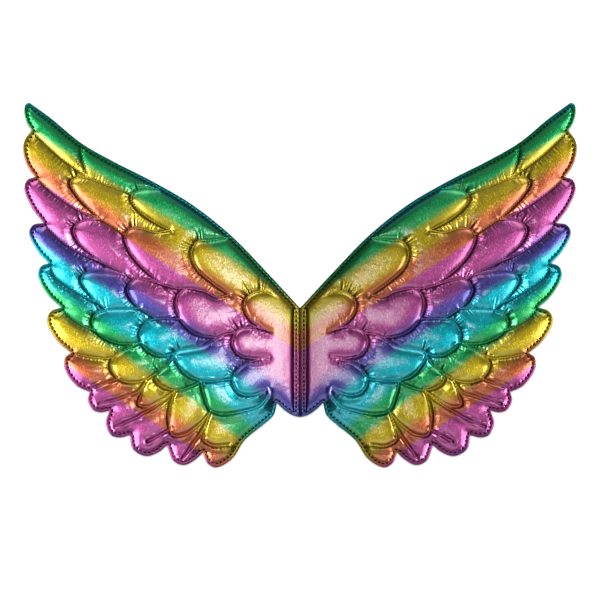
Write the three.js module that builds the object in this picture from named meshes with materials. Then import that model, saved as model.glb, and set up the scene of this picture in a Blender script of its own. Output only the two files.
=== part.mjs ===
// Costume wings: two padded, quilted fronts on one backing sheet, lying on their back.
// Millimetres, +Z up out of the quilted face, +Y towards the wing tips.
// The origin is the middle of the centre seam on the back face.
import * as THREE from "three";

const BACKING = 1; // thickness of the backing sheet
const LAYER_GAP = 0.3; // between the backing and a front
const CENTRE_GAP = 0.6; // between the two fronts along the centre seam
const COVER = 1; // thickness of a front where it is sewn flat
const BORDER = 2.8; // flat border, from the cut edge to the edge stitching
const PUFF = 4.6; // rise of the padding above the border
const PUFF_RUN = 13; // distance from a stitch line at which the padding has its full rise
const STEEPNESS = 2.6; // how sharply the padding rises beside a stitch line
const EDGE_STEP = 4.2; // spacing of corners along the cut edge
const SEAM_STEP = 4.6; // spacing of corners along a stitch line
const RISE_STEP = 2.6; // distance from a stitch line of the corners that shape the rise
const FILL_STEP = 7; // spacing of corners over the open padding
const MIN_STEP = 2; // closest that two corners may be
const FILL_ROOM = 0.62; // share of the fill spacing that a fill corner keeps clear round it
const BORDER_SLACK = 0.1; // how far into the border a corner of the padding may reach
const STAGGER = 0.3; // shift that keeps the fill from being a regular grid
const STAGGER_ACROSS = { column: 7, row: 3 }; // radians that the shift across turns by per corner
const STAGGER_UP = { column: 5, row: 11 }; // radians that the shift upwards turns by per corner
const FAR = 2e4; // reach of the first triangle, well beyond every corner

// One wing, by u outwards from the centre seam and v up.
// The leading edge runs from the top of the centre seam to the wing tip.
const LEADING_EDGE = [
  [0, 45], [24.5, 71.5], [58, 106], [91, 132], [124.5, 151.5],
  [158, 168.5], [183, 183], [208, 203.5], [226, 216.5],
];

// The feather ends that follow, from the tip down and in.
// Each starts at a notch and passes its own round end.
const FEATHER_ENDS = [
  { notch: [226, 216.5], passes: [[229, 215], [230, 209], [228, 200]] },
  { notch: [224, 193], passes: [[229, 186.5], [231, 178], [227.5, 164]] },
  { notch: [221, 154.5], passes: [[227.5, 152], [230, 145], [224, 129.5]] },
  { notch: [214, 116], passes: [[222.5, 114.5], [226, 108], [219, 93]] },
  { notch: [209.5, 82.5], passes: [[216, 80], [218.5, 72.5], [210, 56]] },
  { notch: [199, 45.5], passes: [[207.5, 42.5], [211, 34.5], [203, 18.5]] },
  { notch: [191, 7.5], passes: [[196, 3.5], [196, -6], [186.5, -19.5]] },
  { notch: [175.5, -25], passes: [[177, -32], [172.5, -40], [166, -42]] },
  { notch: [159, -40.5], passes: [[162, -51], [157.5, -61], [150.5, -63]] },
  { notch: [142, -61], passes: [[139.5, -72.5], [129, -78.5], [118.5, -75.5]] },
  { notch: [111, -69.5], passes: [[105.5, -82.5], [97, -86], [87.5, -81.5]] },
  { notch: [81, -75.5], passes: [[77.5, -84], [70.5, -88], [57, -81], [46, -65], [31, -52.5], [22, -44]] },
  { notch: [19.5, -34], passes: [[12.5, -40.5], [6, -44.5]] },
];
const SEAM_FOOT = [0, -46];

// Stitch lines round the tips of the overlapping feathers: root above, round the tip, root below.
const FEATHER_TIPS = [
  { row: 1, place: 2, passes: [
    [116, 144.5], [129, 144], [138.5, 141], [141, 136], [134.5, 126.5], [122, 117], [108, 110],
  ] },
  { row: 1, place: 3, passes: [
    [60.5, 103.5], [74.5, 101.5], [86, 100], [90.5, 91], [86, 78], [73, 66], [59, 56],
  ] },
  { row: 1, place: 4, passes: [
    [19.5, 54], [33, 59], [44, 54], [46.5, 46], [41, 35], [31, 28], [24, 25.5],
  ] },
  { row: 2, place: 1, passes: [
    [140.5, 140], [158, 146.5], [176, 153], [187, 153.5], [191.5, 149.5], [186, 139], [177, 129], [166, 119],
  ] },
  { row: 2, place: 2, passes: [
    [108, 110], [120.5, 108], [132, 111], [141, 111], [146, 105], [142.5, 93], [131, 78.5], [113, 64],
  ] },
  { row: 2, place: 3, passes: [
    [96, 61], [101.5, 56], [103.5, 48], [100, 36], [91, 26], [80.5, 21.5], [69.5, 20.5],
  ] },
  { row: 2, place: 4, passes: [[24, 25.5], [39.5, 29], [52, 26], [56.5, 16.5], [51, 6], [38, 3], [26, 5]] },
  { row: 3, place: 1, passes: [
    [166, 119], [179.5, 118], [186, 115], [189, 110], [184.5, 99.5], [175.5, 91], [164.5, 82.5],
  ] },
  { row: 3, place: 2, passes: [
    [113, 64], [126, 68], [137, 69], [144, 61], [139, 50], [133, 44.5], [119.5, 36],
  ] },
  { row: 3, place: 3, passes: [
    [69.5, 20.5], [80.5, 13.5], [94, 11], [105, 7.5], [102, -1.5], [94, -11], [82.5, -16],
  ] },
  { row: 3, place: 4, passes: [
    [32, 2], [44.5, -1], [54, -9], [56, -16.5], [50.5, -26], [39, -27.5], [27, -22],
  ] },
  { row: 4, place: 1, passes: [
    [144.5, 72.5], [161, 74], [178, 74], [182.5, 69], [177, 58.5], [162.5, 44],
  ] },
  { row: 4, place: 2, passes: [
    [119.5, 36], [127, 34], [133.5, 24], [131, 14], [123, 7], [114.5, 5], [105, 7],
  ] },
  { row: 4, place: 3, passes: [
    [82.5, -16], [80, -27.5], [75, -39.5], [65.5, -43.5], [47, -41], [33, -36], [26, -26], [27, -22],
  ] },
  { row: 5, place: 1, passes: [
    [133, 44.5], [149.5, 44], [162.5, 43], [171, 39], [173.5, 32.5],
    [168, 23.5], [155.5, 16.5], [144, 15], [132.5, 16.5],
  ] },
  { row: 5, place: 2, passes: [
    [105, 7], [111, -3], [119.5, -9.5], [120, -15], [114, -21], [102, -23.5], [91, -20.5], [82.5, -16],
  ] },
  { row: 5, place: 3, passes: [[75, -42], [79, -56.5], [80.5, -64.5], [72, -70], [59, -69]] },
  { row: 6, place: 1, passes: [
    [132.5, 16.5], [145.5, 10.5], [155, 4], [158, -2.5],
    [154, -11.5], [144, -17], [130.5, -15.5], [119.5, -9.5],
  ] },
  { row: 6, place: 2, passes: [
    [104, -24], [107.5, -34], [109.5, -49], [106, -61], [96, -60.5], [84.5, -52.5], [75, -42],
  ] },
  { row: 7, place: 1, passes: [
    [128.5, -16], [131, -24], [134.5, -35.5], [129, -37.5], [116, -31.5], [103.5, -23.5],
  ] },
];

// Stitch lines between neighbouring feathers, from the outer edge inwards or from one feather to the next.
const FEATHER_EDGES = [
  { from: "notch 1", to: "row 2", passes: [
    [224, 192.5], [214.5, 184], [201, 171.5], [187, 161], [176, 153],
  ] },
  { from: "border", to: "row 2", passes: [[182.5, 178], [181.5, 170], [179, 161], [176, 153]] },
  { from: "notch 2", to: "row 3", passes: [
    [220, 154], [208, 142.5], [191, 130.5], [178, 123], [166, 119],
  ] },
  { from: "row 2", to: "row 2", passes: [[166, 119], [158, 114], [146, 106]] },
  { from: "notch 3", to: "row 3", passes: [
    [213.5, 115], [199.5, 101.5], [183, 90.5], [164.5, 82.5], [144.5, 72.5], [139, 69],
  ] },
  { from: "notch 4", to: "row 4", passes: [
    [208.5, 81], [204, 71.5], [191, 61.5], [178, 53.5], [167, 48.5],
  ] },
  { from: "notch 5", to: "row 5", passes: [[198.5, 44.5], [189.5, 36], [179, 29.5], [170, 25.5]] },
  { from: "notch 6", to: "row 6", passes: [[190, 7.5], [176, 4.5], [163, 3], [156, 3.5]] },
  { from: "notch 7", to: "row 6", passes: [[174, -22], [163, -18], [152, -14]] },
  { from: "end 8", to: "row 6", passes: [
    [167, -35], [156, -32], [144, -28], [134.5, -24.5], [128.5, -16],
  ] },
  { from: "end 9", to: "row 6", passes: [
    [154, -54], [141, -48.5], [128, -41.5], [114.5, -33], [104, -24],
  ] },
  { from: "end 10", to: "row 6", passes: [[126.5, -66], [118, -61.5], [109, -56.5]] },
  { from: "end 11", to: "row 5", passes: [[99, -82.5], [91, -71], [81.5, -57], [75, -42]] },
  { from: "row 2", to: "row 1", passes: [
    [113, 64], [103, 61.5], [89.5, 61], [79, 58.5], [69, 54], [59, 56],
  ] },
  { from: "row 4", to: "row 2", passes: [[119.5, 36], [111, 36], [101.5, 36]] },
  { from: "row 2", to: "row 2", passes: [[69.5, 20.5], [62, 23], [55, 24]] },
  { from: "row 5", to: "row 3", passes: [[82.5, -16], [70.5, -16], [56, -14]] },
];

// Evenly spaced points of a smooth line through the points that it passes.
function smoothLine(passes, step) {
  const knots = passes.map(([u, v]) => new THREE.Vector3(u, v, 0));
  const line = new THREE.CatmullRomCurve3(knots, false, "centripetal");
  const count = Math.max(2, Math.round(line.getLength() / step));
  return line.getSpacedPoints(count).map((p) => new THREE.Vector2(p.x, p.y));
}

// The cut edge of one wing, from the top of the centre seam round to its foot.
function cutEdge() {
  const edge = smoothLine(LEADING_EDGE, EDGE_STEP);
  FEATHER_ENDS.forEach(({ notch, passes }, i) => {
    const end = i + 1 < FEATHER_ENDS.length ? FEATHER_ENDS[i + 1].notch : SEAM_FOOT;
    edge.push(...smoothLine([notch, ...passes, end], EDGE_STEP).slice(1));
  });
  return edge;
}

// How far a point lies from a line.
function distance(point, line) {
  let nearest = Infinity;
  for (let i = 1; i < line.length; i += 1) {
    const along = line[i].clone().sub(line[i - 1]);
    const reach = point.clone().sub(line[i - 1]);
    const share = THREE.MathUtils.clamp(reach.dot(along) / along.lengthSq(), 0, 1);
    nearest = Math.min(nearest, reach.addScaledVector(along, -share).length());
  }
  return nearest;
}

// Whether a point lies within a closed ring.
function inside(point, ring) {
  let odd = false;
  ring.forEach((a, i) => {
    const b = ring[(i + 1) % ring.length];
    const crosses = a.y > point.y !== b.y > point.y;
    if (crosses && point.x < a.x + ((point.y - a.y) * (b.x - a.x)) / (b.y - a.y)) odd = !odd;
  });
  return odd;
}

// A triangle of three corners, counter-clockwise, with the circle through them.
function circled(corners, points) {
  const [a, b, c] = corners.map((i) => points[i]);
  const ab = b.clone().sub(a);
  const ac = c.clone().sub(a);
  const twice = 2 * ab.cross(ac);
  const centre = new THREE.Vector2(
    (ac.y * ab.lengthSq() - ab.y * ac.lengthSq()) / twice,
    (ab.x * ac.lengthSq() - ac.x * ab.lengthSq()) / twice,
  );
  return { corners, centre: centre.clone().add(a), reach: centre.lengthSq() };
}

// Joins scattered points into triangles whose circles hold no other point.
function triangulate(points) {
  const count = points.length;
  const outer = [[-FAR, -FAR], [FAR, -FAR], [0, FAR]].map(([x, y]) => new THREE.Vector2(x, y));
  const all = [...points, ...outer];
  let cells = [circled([count, count + 1, count + 2], all)];
  for (let i = 0; i < count; i += 1) {
    const rim = new Map();
    const kept = [];
    for (const cell of cells) {
      if (cell.centre.distanceToSquared(all[i]) >= cell.reach) {
        kept.push(cell);
        continue;
      }
      cell.corners.forEach((a, k) => {
        const b = cell.corners[(k + 1) % 3];
        if (!rim.delete(`${b} ${a}`)) rim.set(`${a} ${b}`, [a, b]);
      });
    }
    for (const [a, b] of rim.values()) kept.push(circled([a, b, i], all));
    cells = kept;
  }
  return cells.map((cell) => cell.corners).filter((corners) => corners.every((i) => i < count));
}

// The closed ring of one front, counter-clockwise, with its straight edge beside the centre seam.
function frontRing(edge) {
  const clear = edge.map((p) => new THREE.Vector2(Math.max(p.x, CENTRE_GAP / 2), p.y));
  const top = clear[0];
  const foot = clear[clear.length - 1];
  const count = Math.round(top.distanceTo(foot) / EDGE_STEP);
  const centre = [];
  for (let i = 1; i < count; i += 1) centre.push(foot.clone().lerp(top, i / count));
  return [...clear, ...centre].reverse();
}

// A quilted front: flat underneath, padded between the stitch lines, flat along its border.
function frontGeometry(edge, seams) {
  const ring = frontRing(edge);
  const closed = [...ring, ring[0]];
  const points = [...ring];
  const roomy = (p, room) => points.every((q) => q.distanceTo(p) >= room);
  const place = (p, room) => {
    if (inside(p, ring) && distance(p, closed) >= BORDER - BORDER_SLACK && roomy(p, room)) points.push(p);
  };
  for (const seam of seams) seam.forEach((p) => place(p, MIN_STEP));
  const rows = [
    { line: closed, aside: BORDER },
    { line: closed, aside: BORDER + RISE_STEP },
    ...seams.flatMap((line) => [{ line, aside: RISE_STEP }, { line, aside: -RISE_STEP }]),
  ];
  for (const { line, aside } of rows) {
    for (let i = 1; i < line.length; i += 1) {
      const along = line[i].clone().sub(line[i - 1]).normalize();
      const middle = line[i].clone().lerp(line[i - 1], 0.5);
      place(new THREE.Vector2(middle.x - along.y * aside, middle.y + along.x * aside), MIN_STEP);
    }
  }
  const bounds = new THREE.Box2().setFromPoints(ring);
  const rise = (FILL_STEP * Math.sqrt(3)) / 2;
  const turn = (by, column, row) => by.column * column + by.row * row;
  for (let j = 0; bounds.min.y + j * rise < bounds.max.y; j += 1) {
    for (let i = 0; bounds.min.x + i * FILL_STEP < bounds.max.x; i += 1) {
      const u = (i + (j % 2) / 2) * FILL_STEP + STAGGER * Math.sin(turn(STAGGER_ACROSS, i, j));
      const v = j * rise + STAGGER * Math.cos(turn(STAGGER_UP, i, j));
      place(new THREE.Vector2(u, v).add(bounds.min), FILL_ROOM * FILL_STEP);
    }
  }

  const floor = BACKING + LAYER_GAP;
  const height = (p) => {
    const fromSeam = Math.min(distance(p, closed) - BORDER, ...seams.map((seam) => distance(p, seam)));
    const share = THREE.MathUtils.clamp(fromSeam / PUFF_RUN, 0, 1);
    return floor + COVER + PUFF * (1 - (1 - share) ** STEEPNESS);
  };
  const vertices = points.map((p) => [p.x, p.y, height(p)]);
  const under = vertices.length;
  ring.forEach((p) => vertices.push([p.x, p.y, floor]));
  const faces = triangulate(points).filter((corners) => {
    const middle = new THREE.Vector2();
    corners.forEach((i) => middle.addScaledVector(points[i], 1 / 3));
    return inside(middle, ring);
  });
  ring.forEach((_, i) => {
    const next = (i + 1) % ring.length;
    faces.push([under + i, under + next, next], [under + i, next, i]);
  });
  for (const [a, b, c] of THREE.ShapeUtils.triangulateShape(ring, [])) {
    faces.push([under + c, under + b, under + a]);
  }

  const geometry = new THREE.BufferGeometry();
  geometry.setAttribute("position", new THREE.Float32BufferAttribute(vertices.flat(), 3));
  geometry.setIndex(faces.flat());
  geometry.computeVertexNormals();
  return geometry;
}

// The backing: one sheet with the outline of both wings.
function backingGeometry(edge) {
  const mirrored = edge.slice(1, -1).map((p) => new THREE.Vector2(-p.x, p.y)).reverse();
  const outline = new THREE.Shape([...edge, ...mirrored]);
  return new THREE.ExtrudeGeometry(outline, { depth: BACKING, bevelEnabled: false });
}

const edge = cutEdge();
const seams = [...FEATHER_TIPS, ...FEATHER_EDGES].map(({ passes }) => smoothLine(passes, SEAM_STEP));
const foil = new THREE.MeshStandardMaterial({ color: 0xc05aa0, metalness: 0.9, roughness: 0.35 });
const sheet = new THREE.MeshStandardMaterial({ color: 0x7a4a86, metalness: 0.2, roughness: 0.7 });

const front = frontGeometry(edge, seams);
const rightWing = new THREE.Mesh(front, foil);
rightWing.name = "right_wing";
const leftWing = new THREE.Mesh(front, foil);
leftWing.name = "left_wing";
leftWing.scale.x = -1;
const backing = new THREE.Mesh(backingGeometry(edge), sheet);
backing.name = "backing";

const wings = new THREE.Group();
wings.name = "wings";
wings.add(leftWing, rightWing, backing);
export default wings;
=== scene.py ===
"""Costume wings of quilted rainbow film: padded fronts, backing sheet, stitches and stage.

Every length in the tables is in millimetres, as on the cut pattern. Objects are in metres.
"""

import math

import bmesh
import bpy
import numpy as np
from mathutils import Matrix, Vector, noise
from mathutils.geometry import delaunay_2d_cdt
from mathutils.kdtree import KDTree


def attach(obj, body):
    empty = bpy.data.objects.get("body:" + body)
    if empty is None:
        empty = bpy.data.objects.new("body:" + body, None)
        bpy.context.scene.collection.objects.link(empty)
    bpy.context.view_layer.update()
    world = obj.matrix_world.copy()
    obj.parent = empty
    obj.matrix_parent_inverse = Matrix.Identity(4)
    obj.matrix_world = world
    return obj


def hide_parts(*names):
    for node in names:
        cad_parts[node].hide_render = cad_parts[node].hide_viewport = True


bl_info = {
    "name": "Quilted Costume Wings",
    "version": (1, 0, 0),
    "blender": (4, 5, 0),
    "location": "View3D > Sidebar > Wings",
    "description": "Builds a pair of padded, quilted costume wings and their studio",
    "category": "Add Mesh",
}

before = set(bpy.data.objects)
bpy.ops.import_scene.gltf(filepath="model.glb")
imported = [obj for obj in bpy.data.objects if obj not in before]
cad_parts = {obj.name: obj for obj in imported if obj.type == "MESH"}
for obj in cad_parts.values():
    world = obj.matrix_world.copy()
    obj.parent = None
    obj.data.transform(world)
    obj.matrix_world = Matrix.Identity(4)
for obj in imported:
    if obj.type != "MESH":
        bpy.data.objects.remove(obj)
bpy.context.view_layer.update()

MM = 0.001
BODY = "root"
SIDES = {"left": -1, "right": 1}

# The cut pattern of one wing, by u outwards from the centre seam and v up.
LEADING_EDGE = [
    (0, 45), (24.5, 71.5), (58, 106), (91, 132), (124.5, 151.5),
    (158, 168.5), (183, 183), (208, 203.5), (226, 216.5),
]

# Feather ends along the outer and lower edge: the notch before each, and the points that its edge passes.
FEATHER_ENDS = [
    {"notch": (226, 216.5), "passes": [(229, 215), (230, 209), (228, 200)]},
    {"notch": (224, 193), "passes": [(229, 186.5), (231, 178), (227.5, 164)]},
    {"notch": (221, 154.5), "passes": [(227.5, 152), (230, 145), (224, 129.5)]},
    {"notch": (214, 116), "passes": [(222.5, 114.5), (226, 108), (219, 93)]},
    {"notch": (209.5, 82.5), "passes": [(216, 80), (218.5, 72.5), (210, 56)]},
    {"notch": (199, 45.5), "passes": [(207.5, 42.5), (211, 34.5), (203, 18.5)]},
    {"notch": (191, 7.5), "passes": [(196, 3.5), (196, -6), (186.5, -19.5)]},
    {"notch": (175.5, -25), "passes": [(177, -32), (172.5, -40), (166, -42)]},
    {"notch": (159, -40.5), "passes": [(162, -51), (157.5, -61), (150.5, -63)]},
    {"notch": (142, -61), "passes": [(139.5, -72.5), (129, -78.5), (118.5, -75.5)]},
    {"notch": (111, -69.5), "passes": [(105.5, -82.5), (97, -86), (87.5, -81.5)]},
    {"notch": (81, -75.5), "passes": [
        (77.5, -84), (70.5, -88), (57, -81), (46, -65), (31, -52.5), (22, -44)]},
    {"notch": (19.5, -34), "passes": [(12.5, -40.5), (6, -44.5)]},
]
SEAM_FOOT = (0, -46)

# Stitch lines round the tips of overlapping feathers: root above, round the tip, root below.
FEATHER_TIPS = [
    {"row": 1, "place": 2, "passes": [
        (116, 144.5), (129, 144), (138.5, 141), (141, 136), (134.5, 126.5), (122, 117), (108, 110)]},
    {"row": 1, "place": 3, "passes": [
        (60.5, 103.5), (74.5, 101.5), (86, 100), (90.5, 91), (86, 78), (73, 66), (59, 56)]},
    {"row": 1, "place": 4, "passes": [
        (19.5, 54), (33, 59), (44, 54), (46.5, 46), (41, 35), (31, 28), (24, 25.5)]},
    {"row": 2, "place": 1, "passes": [
        (140.5, 140), (158, 146.5), (176, 153), (187, 153.5), (191.5, 149.5), (186, 139), (177, 129),
        (166, 119)]},
    {"row": 2, "place": 2, "passes": [
        (108, 110), (120.5, 108), (132, 111), (141, 111), (146, 105), (142.5, 93), (131, 78.5), (113, 64)]},
    {"row": 2, "place": 3, "passes": [
        (96, 61), (101.5, 56), (103.5, 48), (100, 36), (91, 26), (80.5, 21.5), (69.5, 20.5)]},
    {"row": 2, "place": 4, "passes": [
        (24, 25.5), (39.5, 29), (52, 26), (56.5, 16.5), (51, 6), (38, 3), (26, 5)]},
    {"row": 3, "place": 1, "passes": [
        (166, 119), (179.5, 118), (186, 115), (189, 110), (184.5, 99.5), (175.5, 91), (164.5, 82.5)]},
    {"row": 3, "place": 2, "passes": [
        (113, 64), (126, 68), (137, 69), (144, 61), (139, 50), (133, 44.5), (119.5, 36)]},
    {"row": 3, "place": 3, "passes": [
        (69.5, 20.5), (80.5, 13.5), (94, 11), (105, 7.5), (102, -1.5), (94, -11), (82.5, -16)]},
    {"row": 3, "place": 4, "passes": [
        (32, 2), (44.5, -1), (54, -9), (56, -16.5), (50.5, -26), (39, -27.5), (27, -22)]},
    {"row": 4, "place": 1, "passes": [
        (144.5, 72.5), (161, 74), (178, 74), (182.5, 69), (177, 58.5), (162.5, 44)]},
    {"row": 4, "place": 2, "passes": [
        (119.5, 36), (127, 34), (133.5, 24), (131, 14), (123, 7), (114.5, 5), (105, 7)]},
    {"row": 4, "place": 3, "passes": [
        (82.5, -16), (80, -27.5), (75, -39.5), (65.5, -43.5), (47, -41), (33, -36), (26, -26), (27, -22)]},
    {"row": 5, "place": 1, "passes": [
        (133, 44.5), (149.5, 44), (162.5, 43), (171, 39), (173.5, 32.5), (168, 23.5), (155.5, 16.5),
        (144, 15), (132.5, 16.5)]},
    {"row": 5, "place": 2, "passes": [
        (105, 7), (111, -3), (119.5, -9.5), (120, -15), (114, -21), (102, -23.5), (91, -20.5),
        (82.5, -16)]},
    {"row": 5, "place": 3, "passes": [
        (75, -42), (79, -56.5), (80.5, -64.5), (72, -70), (59, -69)]},
    {"row": 6, "place": 1, "passes": [
        (132.5, 16.5), (145.5, 10.5), (155, 4), (158, -2.5), (154, -11.5), (144, -17), (130.5, -15.5),
        (119.5, -9.5)]},
    {"row": 6, "place": 2, "passes": [
        (104, -24), (107.5, -34), (109.5, -49), (106, -61), (96, -60.5), (84.5, -52.5), (75, -42)]},
    {"row": 7, "place": 1, "passes": [
        (128.5, -16), (131, -24), (134.5, -35.5), (129, -37.5), (116, -31.5), (103.5, -23.5)]},
]

# Stitch lines between neighbouring feathers, from the outer edge inwards or from one feather to the next.
FEATHER_EDGES = [
    {"start": "notch 1", "passes": [(224, 192.5), (214.5, 184), (201, 171.5), (187, 161), (176, 153)]},
    {"start": "border", "passes": [(182.5, 178), (181.5, 170), (179, 161), (176, 153)]},
    {"start": "notch 2", "passes": [(220, 154), (208, 142.5), (191, 130.5), (178, 123), (166, 119)]},
    {"start": "row 2", "passes": [(166, 119), (158, 114), (146, 106)]},
    {"start": "notch 3", "passes": [
        (213.5, 115), (199.5, 101.5), (183, 90.5), (164.5, 82.5), (144.5, 72.5), (139, 69)]},
    {"start": "notch 4", "passes": [(208.5, 81), (204, 71.5), (191, 61.5), (178, 53.5), (167, 48.5)]},
    {"start": "notch 5", "passes": [(198.5, 44.5), (189.5, 36), (179, 29.5), (170, 25.5)]},
    {"start": "notch 6", "passes": [(190, 7.5), (176, 4.5), (163, 3), (156, 3.5)]},
    {"start": "notch 7", "passes": [(174, -22), (163, -18), (152, -14)]},
    {"start": "end 8", "passes": [(167, -35), (156, -32), (144, -28), (134.5, -24.5), (128.5, -16)]},
    {"start": "end 9", "passes": [(154, -54), (141, -48.5), (128, -41.5), (114.5, -33), (104, -24)]},
    {"start": "end 10", "passes": [(126.5, -66), (118, -61.5), (109, -56.5)]},
    {"start": "end 11", "passes": [(99, -82.5), (91, -71), (81.5, -57), (75, -42)]},
    {"start": "row 2", "passes": [(113, 64), (103, 61.5), (89.5, 61), (79, 58.5), (69, 54), (59, 56)]},
    {"start": "row 4", "passes": [(119.5, 36), (111, 36), (101.5, 36)]},
    {"start": "row 2", "passes": [(69.5, 20.5), (62, 23), (55, 24)]},
    {"start": "row 5", "passes": [(82.5, -16), (70.5, -16), (56, -14)]},
]

# Levels of the layers, and the gap between the two fronts.
BACKING_TOP = 1.0
FRONT_FLOOR = 1.3
BORDER_TOP = 2.3
CENTRE_GAP = 0.5

# Fineness of lines and meshes. The room, margin and stray of points are shares of the mesh step.
STEPS_PER_SPAN = 40
SAMPLE_STEP = 0.25
OUTLINE_STEP = 1.5
BACKING_STEP = 1.2
POINT_ROOM = 0.62
POINT_STRAY = 0.14
SEAM_MARGIN = 0.4
TOUCHING = 0.02
FAR = 99
FILL_SEED = 1
PUCKER_SEEDS = {"left": 4, "right": 9}

# A stitch line's field: its step, over how many points its bend is averaged, and the radius of a full bend.
FIELD_STEP = 0.4
FIELD_BLUR = 10
FULL_BEND = 14

# How far from a stitch line the padding has swelled to about two thirds of its full height.
SWELLS = {
    "end": 3.4, "lead": 2.0, "centre": 0.8,
    "tip over": 3.2, "tip under": 0.9, "tip above": 3.2,
    "side over": 4.0, "side under": 1.9, "side above": 2.6,
}
# How sharply the swellings of neighbouring lines meet, and the distance over which a dome rises.
MELD = 4
DOME = 15

# What changes outwards from the centre seam: the fill, the doming of feathers and the depth of their lines.
FILL = {"least": 0.5, "more": 0.5, "start": 20, "run": 100}
DOMING = {"least": 0.06, "more": 0.36, "start": 80, "run": 80}
DEPTH = {"least": 0.12, "start": 19, "run": 15}

# Where the film is loose enough to show its nap, how much of the hem's painted shade and duller coat the
# centre strip gets, and where it is pinned.
NAP_START = 3
NAP_RUN = 5
STRIP_HEM_SHADE_AND_DULLING = 0.4
PINNED_HEM = 0.05
PINNED_DEPTH = 0.98

# Puckers beside a stitch line: how hard it grips, and their spacing, reach and rise.
GRIP = {"tip": 0.6, "side": 0.3}
GRIP_OF_BEND = {"tip": 0.4, "side": 0.0}
PUCKER_PITCH = 3.1
PUCKER_DRIFT = {"mean": 0, "spread": 2.2, "waves": (9, 14)}
PUCKER_START = 1.6
PUCKER_REACH = {"mean": 10, "spread": 3.0, "waves": (4, 6.5)}
PUCKER_REACH_ABOVE = 2.5
PUCKER_STRENGTH = {"mean": 0.9, "spread": 0.5, "waves": (6, 11)}
PUCKER_LIMITS = (0.35, 1.4)
PUCKER_RISE = 1.05
PUCKER_RISE_ABOVE = 0.3
PUCKER_LEVEL = 0.45
PUCKER_FADE = 2.2
CALM_ABOVE = 0.8
CALM_ON_LOBES = 0.7

# The few short puckers on the feather's own side.
INNER_START = 0.6
INNER_REACH = 3.5
INNER_RISE = 0.12
INNER_LEVEL = 0.35

# The crest of film outside a feather tip, and the lips beside the side seams of the lower lobes.
CREST_AT = 1.6
CREST_RUN = 6.5
CREST_RISE = 2.2
CREST_SWELL = {"mean": 0.8, "spread": 0.3, "waves": (18, 31)}
LIP_AT = 2.4
LIP_WIDTH = 1.2
LIP_LEAN = 0.25
LIP_RISE = {"mean": 0.75, "spread": 0.5, "waves": (13, 22)}
LOBE_TOP = 10
LOBE_RUN = 40

# Unevenness of the film over its wadding.
WAVE_SIZE = 6
WAVE_RISE = 0.03
CREASE_SIZE = 8
CREASE_SHARPNESS = 7
CREASE_PATCH = 17
CREASE_SHARE = 0.15
CREASE_RISE = 0.08
CRINKLE_START = 3
CRINKLE_LEAST = 0.15
GRAIN_RISE = 0.010

# Relief of the flat border: the rounded cut edge, the ridge along the stitches and the pit under each stitch.
EDGE_ROUND = {"width": 0.9, "drop": 0.6}
HEM_RIDGE = {"width": 0.9, "rise": 0.3}
STITCH_PIT = {"width": 1.1, "drop": 0.45}

# How stitches lie: the level of their middle, how far their ends dive, and their share of the film's colour.
# The hem stitches' near-black share is painted shade of the stitch holes.
HEM_STITCH = {"level": BORDER_TOP, "sag": 0.25, "tint": 0.01}
QUILT_STITCH = {"level": BORDER_TOP + 0.9, "sag": 0.35, "tint": 1.3}

# The film settles at twenty times its size, where the cloth simulation is steady.
TRIAL_SCALE = 0.02


class WingsPattern(bpy.types.PropertyGroup):
    """Sizes of the quilting, in millimetres on the cut pattern"""

    mesh_step: bpy.props.FloatProperty(
        name="Mesh Step", description="Spacing of the film's points", default=0.74)
    centre_strip: bpy.props.FloatProperty(
        name="Centre Strip", description="Flat film beside the seam", default=5.4)
    border: bpy.props.FloatProperty(
        name="Border", description="From the cut edge to its stitches", default=2.9)
    puff: bpy.props.FloatProperty(
        name="Puff", description="Rise of the padding before it is inflated", default=3.2)
    puff_run: bpy.props.FloatProperty(
        name="Puff Run", description="How far from a stitch line it shapes the film", default=16)
    slack: bpy.props.FloatProperty(
        name="Slack", description="Spare film that puckers at the stitches", default=0.002)
    pressure: bpy.props.FloatProperty(
        name="Pressure", description="Push of the padding on the film", default=0.8)
    give: bpy.props.FloatProperty(
        name="Give", description="Share of the settling that the wadding allows", default=0.2)
    settle: bpy.props.IntProperty(
        name="Settle", description="Frames that the film settles for", default=8)
    stitch_pitch: bpy.props.FloatProperty(
        name="Stitch Pitch", description="From stitch to stitch", default=3.6)
    stitch_length: bpy.props.FloatProperty(
        name="Stitch Length", description="Thread that shows", default=2.0)
    stitch_width: bpy.props.FloatProperty(
        name="Stitch Width", description="Thickness of the thread", default=1.65)
    quilt_pitch: bpy.props.FloatProperty(
        name="Quilting Pitch", description="Between feather stitches", default=2.3)
    quilt_length: bpy.props.FloatProperty(
        name="Quilting Length", description="Thread of a feather stitch", default=1.6)
    quilt_width: bpy.props.FloatProperty(
        name="Quilting Width", description="Thickness of that thread", default=0.8)


class WingsFilm(bpy.types.PropertyGroup):
    """Colours and slant of the rainbow bands"""

    slant: bpy.props.FloatProperty(
        name="Slant", description="Angle of the bands below the horizontal",
        default=math.radians(33), subtype="ANGLE")
    cycle: bpy.props.FloatProperty(
        name="Cycle", description="Width of one run of all the bands", default=0.1155, unit="LENGTH")
    green: bpy.props.FloatVectorProperty(
        name="Green", description="Green band", subtype="COLOR", size=3, default=(0.008, 0.29, 0.078))
    yellow: bpy.props.FloatVectorProperty(
        name="Yellow", description="Yellow band", subtype="COLOR", size=3, default=(0.43, 0.325, 0.009))
    orange: bpy.props.FloatVectorProperty(
        name="Orange", description="Orange band", subtype="COLOR", size=3, default=(0.42, 0.107, 0.038))
    pink: bpy.props.FloatVectorProperty(
        name="Pink", description="Pink band", subtype="COLOR", size=3, default=(0.36, 0.060, 0.225))
    violet: bpy.props.FloatVectorProperty(
        name="Violet", description="Violet band", subtype="COLOR", size=3, default=(0.064, 0.056, 0.285))
    cyan: bpy.props.FloatVectorProperty(
        name="Cyan", description="Cyan band", subtype="COLOR", size=3, default=(0.001, 0.35, 0.42))


def pattern():
    """The sizes that the panel shows."""
    return bpy.context.scene.wings_pattern


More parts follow.
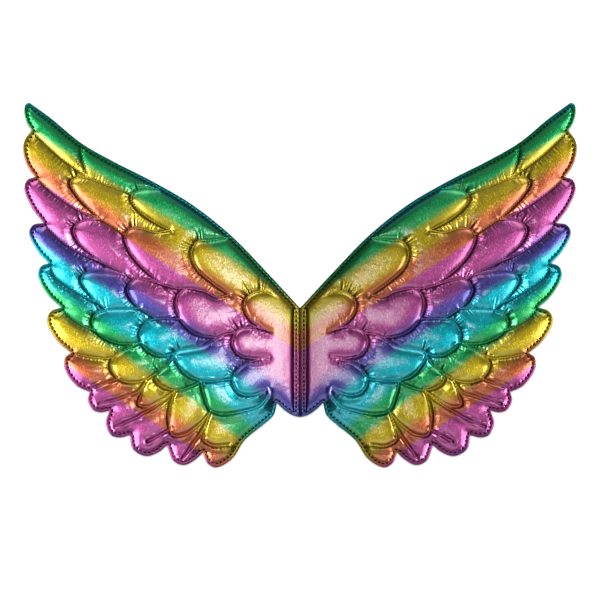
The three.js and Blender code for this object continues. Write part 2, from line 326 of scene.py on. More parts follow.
def smooth_line(passes, step):
    """Evenly spaced points of a smooth line through the points that it passes."""
    knots = np.array(passes, float)
    knots = np.vstack([2 * knots[0] - knots[1], knots, 2 * knots[-1] - knots[-2]])
    t = np.linspace(0, 1, STEPS_PER_SPAN, endpoint=False)[:, None]
    dense = []
    for before, start, end, after in zip(knots, knots[1:], knots[2:], knots[3:]):
        g0, g1, g2 = (np.linalg.norm(b - a) ** 0.5 for a, b in ((before, start), (start, end), (end, after)))
        leave = ((start - before) / g0 - (end - before) / (g0 + g1) + (end - start) / g1) * g1
        arrive = ((end - start) / g1 - (after - start) / (g1 + g2) + (after - end) / g2) * g1
        dense.append((2 * t**3 - 3 * t**2 + 1) * start + (t**3 - 2 * t**2 + t) * leave
                     + (3 * t**2 - 2 * t**3) * end + (t**3 - t**2) * arrive)
    return spaced(np.vstack(dense + [knots[-2:-1]]), step)


def spaced(points, step):
    """The same line with its points at even steps."""
    run = np.concatenate([[0], np.cumsum(np.linalg.norm(np.diff(points, axis=0), axis=1))])
    count = max(2, round(run[-1] / step))
    at = np.linspace(0, run[-1], count + 1)
    return np.column_stack([np.interp(at, run, points[:, k]) for k in (0, 1)])


def cut_edge(step):
    """The cut edge of one wing, from the top of the centre seam round to its foot."""
    ends = [row["notch"] for row in FEATHER_ENDS[1:]] + [SEAM_FOOT]
    lines = [smooth_line(LEADING_EDGE, step)]
    for row, end in zip(FEATHER_ENDS, ends):
        lines.append(smooth_line([row["notch"], *row["passes"], end], step)[1:])
    return np.vstack(lines)


def front_ring(step):
    """The closed edge of one front, anticlockwise, its last point not repeated."""
    edge = cut_edge(step)
    edge[:, 0] = np.maximum(edge[:, 0], CENTRE_GAP / 2)
    centre = spaced(edge[[-1, 0]], step)[1:-1]
    return np.vstack([edge, centre])[::-1]


def inset_ring(ring, distance, step):
    """A line at a distance inside a closed ring, rounded about its notches."""
    before, after = np.roll(ring, 1, axis=0), np.roll(ring, -1, axis=0)
    inward = []
    for a, b in ((before, ring), (ring, after)):
        along = (b - a) / np.linalg.norm(b - a, axis=1)[:, None]
        inward.append(np.column_stack([-along[:, 1], along[:, 0]]))
    points = []
    fan, tolerance = 9, 0.04
    for share in np.linspace(0, 1, fan):
        turned = inward[0] * (1 - share) + inward[1] * share
        points.append(ring + turned / np.linalg.norm(turned, axis=1)[:, None] * distance)
    points = np.stack(points, axis=1).reshape(-1, 2)
    reach = nearest(points, ring_samples(ring))[0]
    points = points[reach > distance - tolerance]
    return spaced(np.vstack([points, points[:1]]), step)[:-1]


def ring_samples(ring, step=SAMPLE_STEP):
    """Evenly spaced points all round a closed ring."""
    return spaced(np.vstack([ring, ring[:1]]), step)


def nearest(points, samples):
    """Distance from each point to the nearest sample, and which it is."""
    tree = KDTree(len(samples))
    for i, (u, v) in enumerate(samples):
        tree.insert((u, v, 0), i)
    tree.balance()
    found = [tree.find((u, v, 0)) for u, v in points]
    return np.array([f[2] for f in found]), np.array([f[1] for f in found])


def within(points, ring):
    """Whether each point lies inside a closed ring."""
    odd = np.zeros(len(points), bool)
    for (ax, ay), (bx, by) in zip(ring, np.roll(ring, -1, axis=0)):
        if ay == by:
            continue
        crosses = (ay > points[:, 1]) != (by > points[:, 1])
        odd ^= crosses & (points[:, 0] < ax + (points[:, 1] - ay) * (bx - ax) / (by - ay))
    return odd


def seam_lines(step):
    """Every stitch line of one wing with its kind, feather tips first."""
    rows = [("tip", row) for row in FEATHER_TIPS] + [("side", row) for row in FEATHER_EDGES]
    return [(kind, smooth_line(row["passes"], step)) for kind, row in rows]


def hex_fill(low, high, step, rng):
    """Points in staggered rows over a rectangle, each moved a little at random."""
    rise = step * math.sqrt(3) / 2
    rows, columns = np.mgrid[0:int((high[1] - low[1]) / rise), 0:int((high[0] - low[0]) / step) + 1]
    across, up = low[0] + (columns + rows % 2 / 2) * step, low[1] + rows * rise
    fill = np.column_stack([across.ravel(), up.ravel()])
    return fill + rng.uniform(-POINT_STRAY, POINT_STRAY, fill.shape) * step


class SeamField:
    """For one stitch line, each nearby point's distance, side, place along it and the line's bend there.

    The side is -1 on the feather that overlaps and 1 on the feather under it.
    """

    def __init__(self, line, points, reach):
        dense = spaced(line, FIELD_STEP)
        low, high = dense.min(axis=0) - reach, dense.max(axis=0) + reach
        self.near = np.nonzero(((points > low) & (points < high)).all(axis=1))[0]
        here = points[self.near]
        self.away, which = nearest(here, dense)
        along = np.gradient(dense, axis=0)
        along /= np.linalg.norm(along, axis=1)[:, None]
        offset = here - dense[which]
        cross = along[which, 0] * offset[:, 1] - along[which, 1] * offset[:, 0]
        self.side = cross / np.maximum(self.away, 1e-6)
        self.above = np.clip(offset[:, 1] / np.maximum(self.away, 1e-6), 0, 1) ** 1.5
        self.place = which * FIELD_STEP
        heading = np.unwrap(np.arctan2(along[:, 1], along[:, 0]))
        blur = np.ones(2 * FIELD_BLUR + 1) / (2 * FIELD_BLUR + 1)
        bend = np.convolve(np.pad(-np.gradient(heading) / FIELD_STEP, FIELD_BLUR, "edge"), blur, "valid")
        self.bend = np.clip(bend * FULL_BEND, 0, 1)[which]


class FilmNet:
    """The flat film of one front: its points, triangles, edges and stitch lines."""

    made = None

    def __init__(self):
        size = pattern()
        self.ring = front_ring(size.mesh_step)
        self.edge = ring_samples(self.ring)
        self.hem = inset_ring(self.ring, size.border, size.mesh_step)
        self.lay_seams(size)
        self.points, self.faces = self.triangles(size.mesh_step)
        self.measure(size)

    def lay_seams(self, size):
        """The stitch lines with their kinds, cut short of the hem."""
        self.seams, self.kinds = [], []
        for kind, line in seam_lines(size.mesh_step):
            line = line[nearest(line, self.edge)[0] > size.border + SEAM_MARGIN * size.mesh_step]
            if len(line) > 3:
                self.seams.append(line)
                self.kinds.append(kind)

    def triangles(self, step):
        """Points and triangles that follow every line of the front."""
        rings = [self.ring, self.hem]
        corners = []
        start = 0
        for k, line in enumerate(rings + self.seams):
            last = len(line) if k < len(rings) else len(line) - 1
            corners += [(start + i, start + (i + 1) % len(line)) for i in range(last)]
            start += len(line)
        points = np.vstack(rings + self.seams)
        fill = hex_fill(self.ring.min(axis=0), self.ring.max(axis=0), step, np.random.default_rng(FILL_SEED))
        fill = fill[nearest(fill, points)[0] > POINT_ROOM * step]
        outline = ring_samples(self.ring, OUTLINE_STEP)[:-1]
        points = np.vstack([points, fill[within(fill, outline)]])
        made = delaunay_2d_cdt([Vector(p) for p in points], corners, [], 0, 1e-4, False)
        points, faces = np.array([tuple(p) for p in made[0]]), np.array(made[2])
        return points, faces[within(points[faces].mean(axis=1), self.ring)]

    def measure(self, size):
        """How far each point is from the edges and stitch lines, and what follows from that."""
        out = self.points[:, 0]
        lead = smooth_line(LEADING_EDGE, SAMPLE_STEP)
        self.from_edge = nearest(self.points, self.edge)[0]
        self.from_lead = nearest(self.points, lead)[0]
        self.from_ends = nearest(self.points, cut_edge(SAMPLE_STEP)[len(lead):])[0]
        self.from_seam = nearest(self.points, np.vstack(self.seams))[0]
        self.fields = [SeamField(line, self.points, size.puff_run) for line in self.seams]
        from_hem, from_strip = self.from_edge - size.border, out - size.centre_strip
        self.into_pad = np.minimum(from_hem, from_strip)
        self.from_strip = np.where(from_strip < from_hem, np.maximum(from_strip, 0), FAR)
        self.depth = np.clip((out - DEPTH["start"]) / DEPTH["run"], DEPTH["least"], 1)
        self.nap = ease((np.minimum(self.from_seam, self.into_pad) - NAP_START) / NAP_RUN)
        # Mask of the hems, weaker on the centre strip, where the film gets painted shade and a duller coat.
        self.tight = ease(1 - self.into_pad) * np.where(out < size.centre_strip, STRIP_HEM_SHADE_AND_DULLING, 1)
        on_seam = (self.from_seam < TOUCHING) & (self.depth > PINNED_DEPTH)
        self.pinned = (self.into_pad < PINNED_HEM) | on_seam

    def padding(self):
        """Rise of the padding over each point: nil on the stitch lines, full in mid feather."""
        out = self.points[:, 0]
        fill = FILL["least"] + FILL["more"] * np.clip((out - FILL["start"]) / FILL["run"], 0, 1)
        domes = DOMING["least"] + DOMING["more"] * ease((out - DOMING["start"]) / DOMING["run"])
        border = pattern().border
        total = swelled(np.maximum(self.from_ends - border, 0), "end", domes) ** -MELD
        total += swelled(np.maximum(self.from_lead - border, 0), "lead", domes) ** -MELD - 1
        total += swelled(self.from_strip, "centre", 0) ** -MELD - 1
        for kind, field in zip(self.kinds, self.fields):
            away = field.away / fill[field.near]
            dome = domes[field.near]
            over = swelled(away, kind + " over", dome)
            under = swelled(away, kind + " under", dome) * (1 - field.above)
            under += swelled(away, kind + " above", dome) * field.above
            share = (over * (1 - field.side) + under * (1 + field.side)) / 2
            total[field.near] += (1 - self.depth[field.near] * (1 - share)) ** -MELD - 1
        return np.where(self.pinned, 0, pattern().puff * fill * total ** (-1 / MELD))


def swelled(away, kind, dome):
    """Share of the padding's full height at a distance from a stitch line."""
    lip = 1 - np.exp(-away / SWELLS[kind])
    return np.maximum((1 - dome) * lip + dome * ease(away / DOME), 1e-3)


def wandering(place, rng, mean, spread, waves):
    """A value along a line that wanders about its mean and never repeats."""
    total = np.zeros(len(place))
    for length in waves:
        total += np.sin(place * 2 * math.pi / (length * rng.uniform(0.9, 1.1)) + rng.uniform(0, 2 * math.pi))
    return mean + spread * (total / len(waves))


def ease(share):
    """A smooth step from 0 to 1."""
    share = np.clip(share, 0, 1)
    return share ** 2 * (3 - 2 * share)


def gathers(net, rng):
    """Rise of the puckers where a stitch line gathers the film, most of all round the feather tips."""
    rise = np.zeros(len(net.points))
    for kind, field in zip(net.kinds, net.fields):
        depth = net.depth[field.near]
        lobe = np.clip((LOBE_TOP - net.points[field.near, 1]) / LOBE_RUN, 0, 1)
        drift = wandering(field.place, rng, **PUCKER_DRIFT)
        ridge = np.cos((field.place / PUCKER_PITCH + rng.uniform()) * math.pi + drift) ** 2
        reach = wandering(field.place, rng, **PUCKER_REACH) + PUCKER_REACH_ABOVE * field.above
        grip = GRIP[kind] + GRIP_OF_BEND[kind] * field.bend
        strength = grip * np.clip(wandering(field.place, rng, **PUCKER_STRENGTH), *PUCKER_LIMITS)
        strength *= (1 - CALM_ON_LOBES * lobe) * (1 - CALM_ABOVE * field.above * (1 - field.bend))
        swell = grip * wandering(field.place, rng, **CREST_SWELL) * (kind == "tip")
        past = field.away - CREST_AT
        crest = ease(field.away / CREST_AT) * ease(1 - past / CREST_RUN) * (1 - field.above)
        flute = ease(field.away / PUCKER_START) * np.clip(1 - past / (reach - CREST_AT), 0, 1)
        height = (PUCKER_RISE + PUCKER_RISE_ABOVE * field.above) * strength
        outer = np.clip(field.side, 0, 1) * depth
        rise[field.near] += outer * (CREST_RISE * swell * crest + height * flute * (ridge - PUCKER_LEVEL))
        inner = np.clip(-field.side, 0, 1) * np.clip(field.away / INNER_START, 0, 1)
        inner *= np.clip(1 - field.away / INNER_REACH, 0, 1)
        rise[field.near] += INNER_RISE * inner * (ridge - INNER_LEVEL)
        lip = np.exp(-((field.away - LIP_AT) / LIP_WIDTH) ** 2) * (kind == "side") * lobe * depth
        lip *= 1 - LIP_LEAN * field.side
        rise[field.near] += lip * wandering(field.place, rng, **LIP_RISE)
    return rise * ease(np.minimum(net.from_seam, net.into_pad) / PUCKER_FADE)


def crinkles(net, rng):
    """Soft unevenness of film over wadding, with fine creases and a grain."""
    shift = Vector(rng.uniform(0, 50, 3))
    rise = np.empty(len(net.points))
    for i, (u, v) in enumerate(net.points):
        at = Vector((u, v, 0))
        crease = max(0.0, 1 - CREASE_SHARPNESS * abs(noise.noise(at / CREASE_SIZE + shift)))
        crease *= max(0.0, noise.noise(at / CREASE_PATCH + shift) + CREASE_SHARE)
        rise[i] = WAVE_RISE * noise.noise(at / WAVE_SIZE - shift) + CREASE_RISE * crease
    rise *= np.clip(net.into_pad / CRINKLE_START, CRINKLE_LEAST, 1)
    return rise + rng.normal(0, GRAIN_RISE, len(net.points)) * net.nap


def border_relief(net):
    """Rise of the flat border: its rounded cut edge, the ridge of its hem and a pit under each stitch."""
    size = pattern()
    pit = nearest(net.points, stitch_places(net.hem, size.stitch_pitch, True)[0])[0]
    rise = -EDGE_ROUND["drop"] * np.clip(1 - net.from_edge / EDGE_ROUND["width"], 0, 1) ** 2
    rise += HEM_RIDGE["rise"] * np.exp(-((net.from_edge - size.border) / HEM_RIDGE["width"]) ** 2)
    return rise - STITCH_PIT["drop"] * np.exp(-(pit / STITCH_PIT["width"]) ** 2)


def stitch_places(line, pitch, closed):
    """The middle and the heading of each stitch on a line."""
    if closed:
        line = np.vstack([line, line[:1]])
    ends = spaced(line, pitch)
    along = np.diff(ends, axis=0)
    return (ends[1:] + ends[:-1]) / 2, along / np.linalg.norm(along, axis=1)[:, None]


def settle_film(net, height):
    """The film after the padding has pushed it up between its stitch lines."""
    size = pattern()
    mesh = bpy.data.meshes.new("film_trial")
    start = np.column_stack([net.points, height]) * TRIAL_SCALE
    mesh.from_pydata(start.tolist(), [], net.faces.tolist())
    trial = bpy.data.objects.new("film_trial", mesh)
    bpy.context.scene.collection.objects.link(trial)
    held = trial.vertex_groups.new(name="held")
    held.add(np.nonzero(net.pinned)[0].tolist(), 1, "REPLACE")
    cloth = trial.modifiers.new("cloth", "CLOTH")
    cloth.settings.quality = 5
    cloth.settings.mass = 0.002
    cloth.settings.vertex_group_mass = held.name
    cloth.settings.use_pressure = True
    cloth.settings.uniform_pressure_force = size.pressure
    cloth.settings.shrink_min = -size.slack
    cloth.settings.bending_stiffness = 0.3
    cloth.settings.effector_weights.gravity = 0
    cloth.collision_settings.use_collision = False
    cloth.point_cache.frame_end = size.settle
    scene = bpy.context.scene
    for number in range(1, size.settle + 1):
        scene.frame_set(number)
    settled = trial.evaluated_get(bpy.context.evaluated_depsgraph_get())
    flat = np.empty(len(net.points) * 3)
    settled.data.vertices.foreach_get("co", flat)
    bpy.data.objects.remove(trial)
    bpy.data.meshes.remove(mesh)
    scene.frame_set(1)
    return flat.reshape(-1, 3) / TRIAL_SCALE


def new_piece(name, vertices, faces, smooth=True):
    """A mesh object at the origin, from millimetres."""
    mesh = bpy.data.meshes.new(name)
    mesh.from_pydata((np.asarray(vertices) * MM).tolist(), [], [list(map(int, f)) for f in faces])
    mesh.validate()
    piece = bpy.data.objects.new(name, mesh)
    bpy.context.scene.collection.objects.link(piece)
    mesh.polygons.foreach_set("use_smooth", [smooth] * len(mesh.polygons))
    return piece


def close_under(piece, floor):
    """Gives an open front its cut edge and its flat underside."""
    shape = bmesh.new()
    shape.from_mesh(piece.data)
    rim = [e for e in shape.edges if e.is_boundary]
    made = bmesh.ops.extrude_edge_only(shape, edges=rim)["geom"]
    lower = [v for v in made if isinstance(v, bmesh.types.BMVert)]
    for v in lower:
        v.co.z = floor * MM
    loop = [e for e in made if isinstance(e, bmesh.types.BMEdge)]
    bmesh.ops.triangle_fill(shape, use_beauty=True, edges=loop)
    bmesh.ops.recalc_face_normals(shape, faces=shape.faces)
    shape.to_mesh(piece.data)
    shape.free()


class WINGS_OT_fronts(bpy.types.Operator):
    """Make the padded, quilted fronts of both wings"""

    bl_idname = "wings.fronts"
    bl_label = "Quilted Fronts"

    def execute(self, context):
        net = FilmNet.made = FilmNet()
        height = net.padding()
        film = np.column_stack([net.points, height])
        film += pattern().give * (settle_film(net, height) - film)
        for side, seed in PUCKER_SEEDS.items():
            self.add_front(net, film, side, np.random.default_rng(seed))
        return {"FINISHED"}

    def add_front(self, net, film, side, rng):
        """One front with puckers of its own, from the film that both share."""
        shape = film.copy()
        shape[:, 2] += BORDER_TOP + gathers(net, rng) + crinkles(net, rng) + border_relief(net)
        shape[:, 0] *= SIDES[side]
        faces = net.faces[:, ::-1] if SIDES[side] < 0 else net.faces
        piece = new_piece(side + "_wing_quilt", shape, faces)
        for name, values in (("nap", net.nap), ("tight", net.tight)):
            piece.data.attributes.new(name, "FLOAT", "POINT").data.foreach_set("value", values)
        close_under(piece, FRONT_FLOOR)
        piece.data.materials.append(rainbow_film())
        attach(piece, BODY)
        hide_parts(side + "_wing")


class Value:
    """A shader socket that works in Python expressions."""

    def __init__(self, tree, socket):
        self.tree = tree
        self.socket = socket

    def math(self, operation, other=0.0, flip=False):
        pair = (other, self) if flip else (self, other)
        return self.tree.node("Math", {"operation": operation}, pair)

    def __add__(self, other):
        return self.math("ADD", other)

    def __sub__(self, other):
        return self.math("SUBTRACT", other)

    def __rsub__(self, other):
        return self.math("SUBTRACT", other, True)

    def __mul__(self, other):
        return self.math("MULTIPLY", other)

    __radd__ = __add__
    __rmul__ = __mul__

    def __abs__(self):
        return self.math("ABSOLUTE")

    def fraction(self):
        return self.math("FRACT")

    def clamped(self):
        return self.math("MAXIMUM").math("MINIMUM", 1.0)


class Shader:
    """A material's node tree, with one method that adds any node."""

    def __init__(self, name):
        self.material = bpy.data.materials.new(name)
        self.material.use_nodes = True
        self.nodes = self.material.node_tree.nodes
        self.links = self.material.node_tree.links
        self.surface = self.nodes["Principled BSDF"]

    def node(self, kind, settings=None, values=(), out=0):
        made = self.nodes.new("ShaderNode" + kind)
        for key, value in (settings or {}).items():
            if key == "stops":
                self.set_stops(made.color_ramp, value)
            else:
                setattr(made, key, value)
        pairs = values.items() if isinstance(values, dict) else enumerate(values)
        for key, value in pairs:
            self.feed(self.socket(made, key), value)
        return Value(self, made.outputs[out])

    def socket(self, made, key):
        """A node's input by its number, or the one in use of those with its name."""
        if isinstance(key, int):
            return made.inputs[key]
        return next(socket for socket in made.inputs if socket.name == key and socket.enabled)

    def set_stops(self, ramp, stops):
        while len(ramp.elements) < len(stops):
            ramp.elements.new(1.0)
        for element, (place, colour) in zip(ramp.elements, stops):
            element.position = place
            element.color = (*colour, 1)

    def feed(self, socket, value):
        if isinstance(value, Value):
            self.links.new(value.socket, socket)
        else:
            socket.default_value = value

    def set(self, **values):
        for key, value in values.items():
            self.feed(self.surface.inputs[key.replace("_", " ")], value)


# Start and end of each band's full colour, as shares of one cycle that starts in the pink.
BANDS = [
    (0.00, "pink"), (0.11, "pink"), (0.215, "violet"), (0.255, "violet"), (0.32, "cyan"), (0.45, "cyan"),
    (0.525, "green"), (0.60, "green"), (0.66, "yellow"), (0.75, "yellow"), (0.83, "orange"), (0.90, "orange"),
    (0.925, "pink"),
]
# Where the cycle starts, how far the bands waver, and their shift in the corner below the centre seam.
BAND_START = 0.96
BAND_WAVER = 0.03
CORNER_SHIFT = 0.06
CORNER_OUT = 0.09
CORNER_RUN = 0.05

# The film's tone and gloss: how they rise with the grain, the painted shade and duller coat on the hems and
# centre strip, and how the coat thins outwards along the wing as a painted fall-off of the front lights'
# glare.
TONE = 0.7
TONE_OF_GRAIN = 5.4
PAINTED_HEM_SHADE = 0.25
GLOSS = 0.85
GLOSS_OF_GRAIN = 1.5
GLOSS_OF_HEM = 0.65
PAINTED_GLARE_FALLOFF = 0.4
ROUGHNESS = 0.32
ROUGHNESS_OF_NAP = 0.13
OUTWARDS_START = 0.07
OUTWARDS_RUN = 0.2


def band_colour(shader, darken=1.0):
    """The rainbow bands, slanting down towards the centre seam on both wings."""
    film = bpy.context.scene.wings_film
    place = shader.node("TexCoord", out=3)
    waver = shader.node("TexNoise", values={"Vector": place, "Scale": 60.0, "Detail": 2.0})
    parts = [shader.node("SeparateXYZ", values=[place], out=k) for k in (0, 1)]
    across = abs(parts[0]) * math.sin(film.slant) - parts[1] * math.cos(film.slant)
    corner = (CORNER_OUT / CORNER_RUN - abs(parts[0]) * (1 / CORNER_RUN)).clamped()
    corner = corner * (parts[1] * (-1 / CORNER_RUN)).clamped()
    share = across * (1 / film.cycle) + waver * BAND_WAVER - corner * CORNER_SHIFT + BAND_START
    stops = [(at, [darken * c for c in getattr(film, name)]) for at, name in BANDS]
    return shader.node("ValToRGB", {"stops": stops}, [share.fraction()])


def rainbow_film():
    """Metallic film with a clear gloss over it, crinkled and finely grained."""
    name = "rainbow_film"
    if name in bpy.data.materials:
        return bpy.data.materials[name]
    shader = Shader(name)
    place = shader.node("TexCoord", out=3)
    nap = shader.node("Attribute", {"attribute_name": "nap"}, out=2)
    tight = shader.node("Attribute", {"attribute_name": "tight"}, out=2)
    fibres = {"Vector": place, "Rotation": (0, 0, 0.9), "Scale": (1.0, 0.4, 1.0)}
    grain = shader.node("TexNoise", values={
        "Vector": shader.node("Mapping", values=fibres), "Scale": 1500.0, "Detail": 2.0})
    relief = shader.node("Bump", values={"Strength": 1.0, "Distance": 0.00007, "Height": grain * nap})
    speck = (grain - 0.5).math("MAXIMUM") * nap
    # Darker on the hems and the centre strip: painted shade.
    tone = speck * TONE_OF_GRAIN + TONE - tight * PAINTED_HEM_SHADE
    worn = {"Factor": 1.0, "A": band_colour(shader), "B": tone}
    colour = shader.node("Mix", {"data_type": "RGBA", "blend_type": "MULTIPLY"}, worn, out=2)
    shader.set(Base_Color=colour, Metallic=1.0, Roughness=nap * ROUGHNESS_OF_NAP + ROUGHNESS, Normal=relief)
    # The coat thins outwards along the wing: a painted fall-off of the front lights' glare, which stays
    # strongest in the middle.
    across = abs(shader.node("SeparateXYZ", values=[place]))
    outward = (across * (1 / OUTWARDS_RUN) - OUTWARDS_START / OUTWARDS_RUN).clamped()
    gloss = GLOSS - tight * GLOSS_OF_HEM - outward * PAINTED_GLARE_FALLOFF + speck * GLOSS_OF_GRAIN
    shader.set(Coat_Weight=gloss, Coat_Roughness=0.21, Coat_IOR=1.5)
    return shader.material


def sewing_thread(name, tint):
    """Twisted thread with a share of the film's colour. On the hem that share is near black: painted shade of
    the stitch holes.
    """
    shader = Shader(name)
    place = shader.node("TexCoord", out=3)
    strands = shader.node("TexNoise", values={"Vector": place, "Scale": 2600.0, "Detail": 1.0})
    relief = shader.node("Bump", values={"Strength": 0.4, "Distance": 0.00007, "Height": strands})
    shader.set(Base_Color=band_colour(shader, tint), Roughness=0.7, Specular_IOR_Level=0.2, Normal=relief)
    return shader.material


def backing_in_painted_shade():
    """The dull reverse of the film, in its band colours darkened to 0.4 as painted shade of the edge."""
    shader = Shader("backing_cloth")
    place = shader.node("TexCoord", out=3)
    weave = shader.node("TexNoise", values={"Vector": place, "Scale": 1400.0, "Detail": 2.0})
    relief = shader.node("Bump", values={"Strength": 0.3, "Distance": 0.0003, "Height": weave})
    shader.set(Base_Color=band_colour(shader, 0.4), Metallic=0.2, Roughness=0.6, Normal=relief)
    return shader.material


# A stitch from end to end: how far along it each ring of points is, and how thick it is there.
STITCH_RINGS = [(-1.0, 0.35), (-0.72, 0.9), (0.0, 1.0), (0.72, 0.9), (1.0, 0.35)]
STITCH_SIDES = 6


def stitch_row(middles, headings, length, width, level, sag):
    """Points and faces of stitches, each a short rounded run of thread that dives in at both ends."""
    turns = np.arange(STITCH_SIDES) * 2 * math.pi / STITCH_SIDES
    rings = []
    for along, thick in STITCH_RINGS:
        place = np.full(STITCH_SIDES, along * length / 2)
        rings.append(np.column_stack([place, np.cos(turns) * thick * width / 2,
                                      np.sin(turns) * thick * width / 2 - sag * along ** 2]))
    model = np.vstack(rings)
    faces = []
    for start in range(0, len(model) - STITCH_SIDES, STITCH_SIDES):
        for k in range(STITCH_SIDES):
            ahead = (k + 1) % STITCH_SIDES
            faces.append([start + STITCH_SIDES + k, start + STITCH_SIDES + ahead, start + ahead, start + k])
    faces.append(list(range(STITCH_SIDES)))
    faces.append([len(model) - 1 - k for k in range(STITCH_SIDES)])
    vertices, joined = [], []
    for (u, v), (c, d) in zip(middles, headings):
        start = len(vertices) * len(model)
        vertices.append(np.column_stack([u + model[:, 0] * c - model[:, 1] * d,
                                         v + model[:, 0] * d + model[:, 1] * c, level + model[:, 2]]))
        joined += [[start + k for k in face] for face in faces]
    return np.vstack(vertices), joined


class WINGS_OT_stitches(bpy.types.Operator):
    """Sew the stitches round both fronts and along every feather"""

    bl_idname = "wings.stitches"
    bl_label = "Stitches"

    def execute(self, context):
        size = pattern()
        net = FilmNet.made
        hem = stitch_places(net.hem, size.stitch_pitch, True)
        quilting = [stitch_places(line, size.quilt_pitch, False) for line in net.seams]
        quilting = [np.vstack(parts) for parts in zip(*quilting)]
        self.sew("hem_stitches", hem, size.stitch_length, size.stitch_width, **HEM_STITCH)
        self.sew("quilting_stitches", quilting, size.quilt_length, size.quilt_width, **QUILT_STITCH)
        return {"FINISHED"}

    def sew(self, name, places, length, width, level, sag, tint):
        """One row of stitches, on both fronts."""
        middles, headings = places
        vertices, faces = stitch_row(middles, headings, length, width, level, sag)
        count = len(vertices)
        both = np.vstack([vertices, vertices * (-1, 1, 1)])
        faces = faces + [[count + k for k in face[::-1]] for face in faces]
        piece = new_piece(name, both, faces)
        piece.data.materials.append(sewing_thread(name + "_thread", tint))
        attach(piece, BODY)


class WINGS_OT_backing(bpy.types.Operator):
    """Make the one backing sheet behind both fronts"""

    bl_idname = "wings.backing"
    bl_label = "Backing Sheet"

    def execute(self, context):
        edge = cut_edge(BACKING_STEP)
        ring = np.vstack([edge, edge[-2:0:-1] * (-1, 1)])
        flat = np.column_stack([ring, np.zeros(len(ring))])
        piece = new_piece("backing_sheet", flat, [range(len(ring))], False)
        shape = bmesh.new()
        shape.from_mesh(piece.data)
        bmesh.ops.recalc_face_normals(shape, faces=shape.faces)
        made = bmesh.ops.extrude_face_region(shape, geom=shape.faces[:])["geom"]
        for v in made:
            if isinstance(v, bmesh.types.BMVert):
                v.co.z = BACKING_TOP * MM
        bmesh.ops.recalc_face_normals(shape, faces=shape.faces)
        area = sum(f.calc_area() for f in shape.faces if f.normal.z > 0.9)
        shape.to_mesh(piece.data)
        shape.free()
        piece.data.materials.append(backing_in_painted_shade())
        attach(piece, BODY)
        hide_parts("backing")
        return {"FINISHED"}


# The camera looks straight down, from where the view at the quilting is of this width, in metres.
VIEW_WIDTH = 0.5
VIEW_LEVEL = 0.004
VIEW_MIDDLE = 0.0517
LENS = 100
SENSOR = 36

# The floor, the glow all round, and the point that the lights aim at.
FLOOR_SIZE = 6
FLOOR_WHITE = 0.9
WORLD_GLOW = 0.07
LIGHTS_AIM = (0, 0.05, 0)

# Softboxes by the direction and distance that they are in, in degrees and metres, and their width and height.
LIGHTS = [
    {"name": "floor_wash", "turn": 90, "lift": 70, "away": 2.6, "size": (3, 3),
     "glow": 4.6, "gloss": False},
    {"name": "front_left", "turn": 252, "lift": 87.1, "away": 2.0, "size": (0.26, 0.26),
     "glow": 37, "wing": "left"},
    {"name": "front_right", "turn": 272, "lift": 87.3, "away": 2.0, "size": (0.26, 0.26),
     "glow": 19, "wing": "right"},
    {"name": "foot", "turn": 270, "lift": 56, "away": 1.1, "size": (0.9, 0.36), "glow": 2.1},
    {"name": "foot_low", "turn": 270, "lift": 20, "away": 1.2, "size": (1.4, 0.3), "glow": 2.0},
    {"name": "upper_left", "turn": 125, "lift": 36, "away": 1.2, "size": (0.7, 0.5),
     "glow": 5.0, "wing": "left"},
    {"name": "upper_right", "turn": 55, "lift": 36, "away": 1.2, "size": (0.7, 0.5),
     "glow": 4.0, "wing": "right"},
    {"name": "head", "turn": 80, "lift": 50, "away": 1.1, "size": (1.2, 0.6), "glow": 0.4},
    {"name": "left", "turn": 195, "lift": 22, "away": 1.1, "size": (0.9, 0.28),
     "glow": 25.0, "wing": "left"},
    {"name": "left_wall", "turn": 200, "lift": 48, "away": 2.2, "size": (0.7, 0.5),
     "glow": 14.0, "wing": "left"},
    {"name": "right", "turn": 345, "lift": 22, "away": 1.1, "size": (0.9, 0.28),
     "glow": 20.0, "wing": "right"},
    {"name": "right_wall", "turn": 340, "lift": 48, "away": 2.2, "size": (0.7, 0.5),
     "glow": 9.0, "wing": "right"},
]


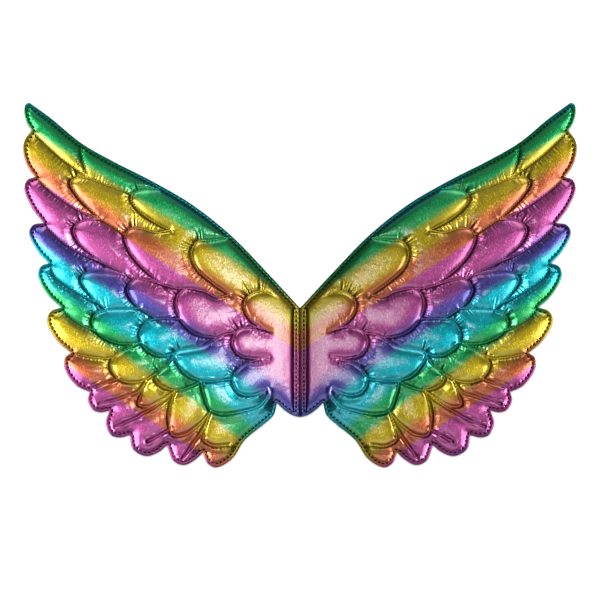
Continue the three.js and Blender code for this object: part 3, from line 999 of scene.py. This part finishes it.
class WINGS_OT_stage(bpy.types.Operator):
    """Set up the floor, the camera and the studio lights"""

    bl_idname = "wings.stage"
    bl_label = "Studio"

    def execute(self, context):
        scene = context.scene
        bpy.ops.object.select_all(action="DESELECT")
        bpy.ops.mesh.primitive_plane_add(size=FLOOR_SIZE, location=(0, 0, 0))
        floor = context.object
        floor.name = "floor"
        white = Shader("floor_white")
        white.set(Base_Color=(FLOOR_WHITE, FLOOR_WHITE, FLOOR_WHITE, 1), Roughness=0.8)
        floor.data.materials.append(white.material)

        camera = bpy.data.objects.new("camera", bpy.data.cameras.new("camera"))
        scene.collection.objects.link(camera)
        camera.data.lens = LENS
        camera.data.sensor_width = SENSOR
        camera.location = (0, VIEW_MIDDLE, VIEW_LEVEL + VIEW_WIDTH * LENS / SENSOR)
        scene.camera = camera

        world = bpy.data.worlds.new("studio")
        world.use_nodes = True
        world.node_tree.nodes["Background"].inputs[0].default_value = (WORLD_GLOW, WORLD_GLOW, WORLD_GLOW, 1)
        scene.world = world
        for row in LIGHTS:
            self.add_light(scene, **row)
        scene.view_settings.view_transform = "Standard"
        return {"FINISHED"}

    def add_light(self, scene, name, turn, lift, away, size, glow, gloss=True, wing=None):
        """A softbox of an even glow, aimed at the wings. One without gloss lights only what is matt."""
        lamp = bpy.data.lights.new(name, "AREA")
        lamp.shape = "RECTANGLE"
        lamp.size, lamp.size_y = size
        lamp.energy = glow * math.pi * size[0] * size[1]
        light = bpy.data.objects.new(name, lamp)
        turn, lift = math.radians(turn), math.radians(lift)
        towards = Vector((math.cos(turn) * math.cos(lift), math.sin(turn) * math.cos(lift), math.sin(lift)))
        light.location = Vector(LIGHTS_AIM) + towards * away
        light.rotation_euler = towards.to_track_quat("Z", "Y").to_euler()
        light.visible_glossy = gloss
        light.visible_diffuse = not gloss
        scene.collection.objects.link(light)
        if wing:
            lit = bpy.data.collections.new(name + "_lit")
            lit.objects.link(bpy.data.objects[wing + "_wing_quilt"])
            light.light_linking.receiver_collection = lit


class WINGS_PT_panel(bpy.types.Panel):
    """Lists the steps that build the wings"""

    bl_idname = "WINGS_PT_panel"
    bl_label = "Wings"
    bl_space_type = "VIEW_3D"
    bl_region_type = "UI"
    bl_category = "Wings"

    def draw(self, context):
        for step in STEPS:
            self.layout.operator(step.bl_idname)


STEPS = (WINGS_OT_fronts, WINGS_OT_stitches, WINGS_OT_backing, WINGS_OT_stage)
CLASSES = (WingsPattern, WingsFilm, *STEPS, WINGS_PT_panel)


def register():
    for cls in CLASSES:
        bpy.utils.register_class(cls)
    bpy.types.Scene.wings_pattern = bpy.props.PointerProperty(type=WingsPattern)
    bpy.types.Scene.wings_film = bpy.props.PointerProperty(type=WingsFilm)


def unregister():
    del bpy.types.Scene.wings_film
    del bpy.types.Scene.wings_pattern
    for cls in reversed(CLASSES):
        bpy.utils.unregister_class(cls)


def main():
    register()
    bpy.ops.wings.fronts()
    bpy.ops.wings.stitches()
    bpy.ops.wings.backing()
    bpy.ops.wings.stage()


if __name__ == "__main__":
    main()
